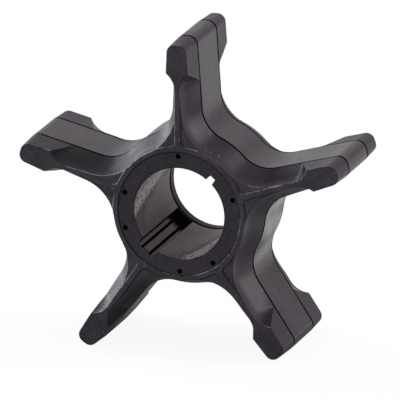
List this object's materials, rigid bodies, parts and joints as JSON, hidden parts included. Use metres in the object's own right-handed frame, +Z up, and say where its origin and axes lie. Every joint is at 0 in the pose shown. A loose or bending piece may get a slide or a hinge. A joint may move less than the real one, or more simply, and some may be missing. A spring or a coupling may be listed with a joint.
{
  "type": "rubber pump impeller",
  "caption": "Flexible vane impeller for a seawater cooling pump: rubber vanes with rounded tips and scooped ends on a hub bonded round a keyed shaft bush.",
  "frame": {"origin": "on the shaft axis at the middle of the bore's length", "axes": "Y is the shaft axis and the front face with the locating holes looks along -Y; Z is up with one vane standing straight up; X is to the right seen from the front"},
  "size_m": [0.0688, 0.026, 0.0655],
  "materials": {
    "vane_rubber": "satin black moulded rubber",
    "bush_plastic": "black moulded bush with a smooth bore"
  },
  "bodies": {
    "root": {"vane_body": "vane_rubber", "hub_bush": "bush_plastic"}
  },
  "joints": []
}
